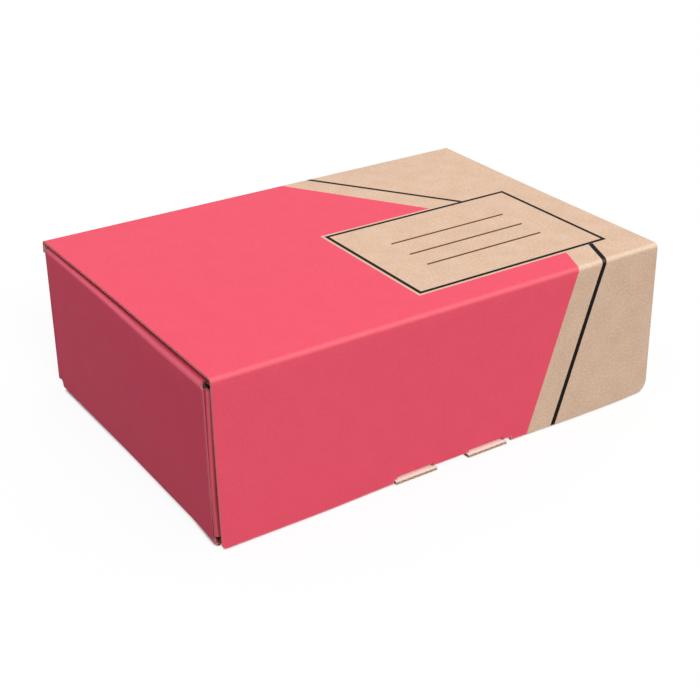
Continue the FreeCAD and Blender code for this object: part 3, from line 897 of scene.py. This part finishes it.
# a thin pale pink line runs along the lid's cut left edge: ink soaked in there, and it is painted
# paler as a highlight where the edge catches light from above
lid_stain_and_highlight = edge_soak_and_painted_light(0, -lid_side, SOAKED_IN, SOAKED_FULL, WORN_INK)
lid_waves = kraft_paper("fluting paper of the lid", FLUTING, FLUTING_DARK, lid_stain_and_highlight)
lid_inside = kraft_paper("inside kraft liner of the lid", INSIDE, INSIDE_DARK, lid_stain_and_highlight)
flap_cuts = [recess_left, recess_right, -wall_side, wall_side]
flap_cuts += both_ends(LOCK_PLACES, notch_half)
rounded = [
    sign * (lid_side - wide * (1 - math.cos(turn)))
    for sign, wide, _ in ROUNDED_CORNERS
    for turn in np.linspace(0, math.pi / 2, ROUNDED_STEPS)
]
lid_across = [*spaced(-lid_side, lid_side, LID_STEP), *rounded]
lid_across = with_cuts(lid_across, -lid_side, lid_side, flap_cuts)
lid_runs = lid_strip.lines(0, back_end, [recess_top, notch_top, ROUNDED_BELOW, back_head])
lid_runs = with_cuts([*lid_runs, *spaced(0, flap_length, FLAP_STEP)], 0, back_end)
lid = board(
    "lid",
    "",
    lid_strip,
    (lid_runs, lid_across),
    lid_kept,
    lid_place,
    flutes_across=False,
    joined=lid_seams,
    papers=(printed_kraft, lid_waves, lid_inside),
    zero=fold_ridge,
    crushed=lid_crushed,
)
for sheet in lid:
    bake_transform(sheet)
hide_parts("front_flap")

# ---- the lock tabs ----------------------------------------------------------------------------
# Two small tabs of the same board at the foot of the flap. They fold back under it and go into
# the front wall's slots, on top of the tongues, and so hold the box shut.

TAB_LENGTH = 8.0
TAB_RISE = 8  # degrees that a tab slopes up towards its end
slope = math.radians(TAB_RISE)
tab_end = Vector((face + FOLD, tab_foot + FOLD))
tab_end += FOLD * Vector((math.sin(slope), -math.cos(slope)))
tab_end += TAB_LENGTH * Vector((math.cos(slope), math.sin(slope)))
tab_strip = Strip(tab_end, 180 + TAB_RISE, [TAB_LENGTH, (90 + TAB_RISE, CREASE)])
tab_edges = both_ends(LOCK_PLACES, TAB_HALF)


def tab_kept(run, across):
    return near_one(across, LOCK_PLACES, TAB_HALF)


def tab_place(run, across, depth):
    y, z = tab_strip.at(run, depth)
    return np.stack((across, y - lean(across), z))


tab_lines = (
    tab_strip.lines(0, tab_strip.marks[-1]),
    with_cuts([], tab_edges[0], tab_edges[-1], tab_edges),
)
board(
    "lock_tabs",
    "flap",
    tab_strip,
    tab_lines,
    tab_kept,
    tab_place,
    flutes_across=False,
    joined=lambda run, across: run > tab_strip.marks[-1] - HAIR,
    papers=(pink_kraft, waved_kraft, inside_kraft),
)

# ---- floor, light and camera ------------------------------------------------------------------
# A white table and a white room with a bright ceiling, and a broad soft lamp in front, a touch
# to the left. The table looks nearly white, and it gives the box less light than a white one would.

FLOOR_REACH = 4.0  # metres from the box to each edge of the table
TABLE_SEEN, TABLE_LIGHTING = "#FDFDFD", "#707070"  # as it is seen, and as it lights the box
FLOOR_GLOW = 0.9  # how much of the floor's white is plain background, the rest takes the shadow
CONTACT = 2.0  # how near to the box the floor's glow is dimmed, a painted contact shadow
CONTACT_DARK, CONTACT_CLEAR = 0.35, 0.8  # how open to the room the dark and the clear floor are
corners = [(x * FLOOR_REACH, y * FLOOR_REACH, 0) for x, y in ((-1, -1), (1, -1), (1, 1), (-1, 1))]
floor_mesh = bpy.data.meshes.new("floor")
floor_mesh.from_pydata(corners, [], [(0, 1, 2, 3)])
floor = bpy.data.objects.new("floor", floor_mesh)
bpy.context.scene.collection.objects.link(floor)
# smooth matt paint: an even pale surface with no gloss on it
white = bpy.data.materials.new("white table")
white.use_nodes = True
table = white.node_tree
paint = table.nodes["Principled BSDF"]
paint.inputs["Roughness"].default_value = 0.9


def rays_that_show(tree):
    """1 for a ray that shows the background, straight or in a gloss, and 0 for one that lights."""
    rays = add(tree, "ShaderNodeLightPath", {})
    seen = {0: rays.outputs["Is Camera Ray"], 1: rays.outputs["Is Glossy Ray"]}
    seen = {0: add(tree, "ShaderNodeMath", seen).outputs[0], 1: rays.outputs["Is Transmission Ray"]}
    return add(tree, "ShaderNodeMath", seen, use_clamp=True).outputs[0]


seen = rays_that_show(table)
shade = {0: seen, 6: linear(TABLE_LIGHTING), 7: linear(TABLE_SEEN)}
shade = add(table, "ShaderNodeMix", shade, data_type="RGBA").outputs[2]
table.links.new(shade, paint.inputs["Base Color"])
glow = add(table, "ShaderNodeEmission", {})
# the floor's glow is dimmed where the box hides the room from it: a painted contact shadow
painted_contact_shadow = {"Distance": CONTACT * MILLIMETRE}
painted_contact_shadow = add(table, "ShaderNodeAmbientOcclusion", painted_contact_shadow, samples=8).outputs["AO"]
painted_contact_shadow = {0: painted_contact_shadow, 1: CONTACT_DARK, 2: CONTACT_CLEAR, 4: FLOOR_GLOW}
painted_contact_shadow = add(table, "ShaderNodeMapRange", painted_contact_shadow).outputs[0]
part = add(table, "ShaderNodeMath", {0: seen, 1: painted_contact_shadow}, operation="MULTIPLY").outputs[0]
mixed = add(table, "ShaderNodeMixShader", {0: part, 1: paint.outputs[0], 2: glow.outputs[0]})
table.links.new(mixed.outputs[0], table.nodes["Material Output"].inputs["Surface"])
floor_mesh.materials.append(white)

WALL_LIGHT, CEILING_LIGHT = 0.03, 1.18  # how strongly the room shines, at eye level and straight up
CEILING_CURVE = 1.2  # and the power by which it grows between them
world = bpy.data.worlds.new("white room")
bpy.context.scene.world = world
world.use_nodes = True
room = world.node_tree
plain = room.nodes["Background"]
plain.inputs["Color"].default_value = (1, 1, 1, 1)
upwards = add(room, "ShaderNodeTexCoord", {}).outputs["Generated"]
upwards = add(room, "ShaderNodeSeparateXYZ", {0: upwards}).outputs[2]
upwards = add(room, "ShaderNodeMath", {0: upwards, 1: 0.0}, operation="MAXIMUM").outputs[0]
upwards = {0: upwards, 1: CEILING_CURVE}
upwards = add(room, "ShaderNodeMath", upwards, operation="POWER").outputs[0]
strength = {0: upwards, 3: WALL_LIGHT, 4: CEILING_LIGHT}
strength = add(room, "ShaderNodeMapRange", strength).outputs[0]
strength = {0: rays_that_show(room), 2: strength, 3: 1.0}
strength = add(room, "ShaderNodeMix", strength, data_type="FLOAT")
room.links.new(strength.outputs[0], plain.inputs["Strength"])

lamp = bpy.data.lights.new("lamp", "SUN")
lamp.energy = 1.73
lamp.angle = math.radians(25)
lamp_from = Vector((-0.025, -0.455, 0.31))
lamp_object = bpy.data.objects.new("lamp", lamp)
lamp_object.rotation_euler = lamp_from.to_track_quat("Z", "Y").to_euler()
bpy.context.scene.collection.objects.link(lamp_object)

camera = bpy.data.cameras.new("camera")
camera.lens = 69.37
camera.sensor_width = 36
camera.shift_y = -0.0714
camera_object = bpy.data.objects.new("camera", camera)
bpy.context.scene.collection.objects.link(camera_object)
azimuth, elevation, roll = math.radians(-33.23), math.radians(25.39), math.radians(-0.40)
target = Vector((0.09, 0.85, 51.04)) * MILLIMETRE
distance = 701.68 * MILLIMETRE
away = Vector((
    math.sin(azimuth) * math.cos(elevation),
    -math.cos(azimuth) * math.cos(elevation),
    math.sin(elevation),
))
camera_object.location = target + distance * away
camera_object.rotation_mode = "QUATERNION"
camera_object.rotation_quaternion = away.to_track_quat("Z", "Y") @ Quaternion((0, 0, 1), roll)
bpy.context.scene.camera = camera_object
bpy.context.scene.view_settings.view_transform = "Standard"
